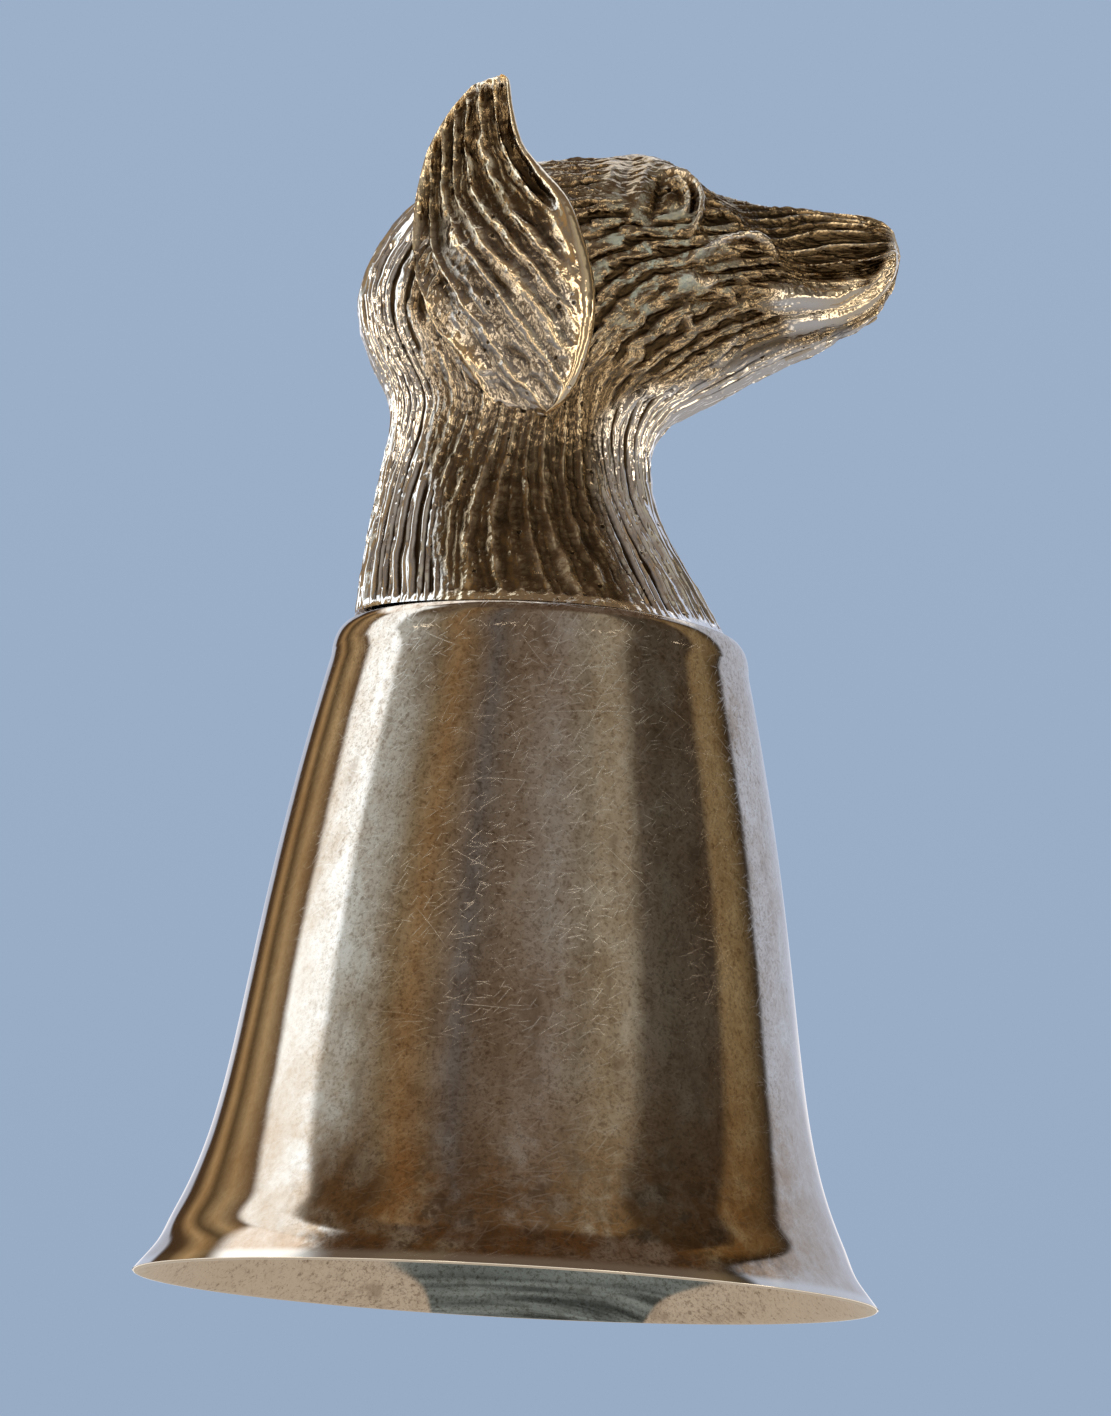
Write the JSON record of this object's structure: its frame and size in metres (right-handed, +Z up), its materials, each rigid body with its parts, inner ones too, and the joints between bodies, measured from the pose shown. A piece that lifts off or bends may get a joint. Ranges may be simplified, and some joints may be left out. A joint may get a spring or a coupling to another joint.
{
  "type": "stirrup cup",
  "caption": "Stirrup cup: a flared, polished drinking bowl that stands mouth down on its rim, with a cast hound-like animal head as its closed end.",
  "frame": {"origin": "centre of the rim, in the plane on which the cup stands mouth down", "axes": "+Z up along the axis of the bowl, towards the head; +X the way the muzzle points; the median plane of the head is Y = 0"},
  "size_m": [0.076, 0.076, 0.1246],
  "materials": {
    "polished_plate": "polished silver plate on brass, tarnished and finely scratched",
    "oxidised_plate": "silver plated casting with dark oxidised grooves",
    "turned_brass": "turned brass",
    "seal_fibre": "red-brown vulcanised fibre",
    "plated_fixing": "silver plated brass"
  },
  "bodies": {
    "root": {"cup_bowl": "polished_plate", "head_right": "oxidised_plate", "head_left": "oxidised_plate", "right_ear": "oxidised_plate", "left_ear": "oxidised_plate", "neck_bridge": "turned_brass", "fixing_stud": "turned_brass", "seal_washer": "seal_fibre", "dome_nut": "plated_fixing"}
  },
  "joints": []
}
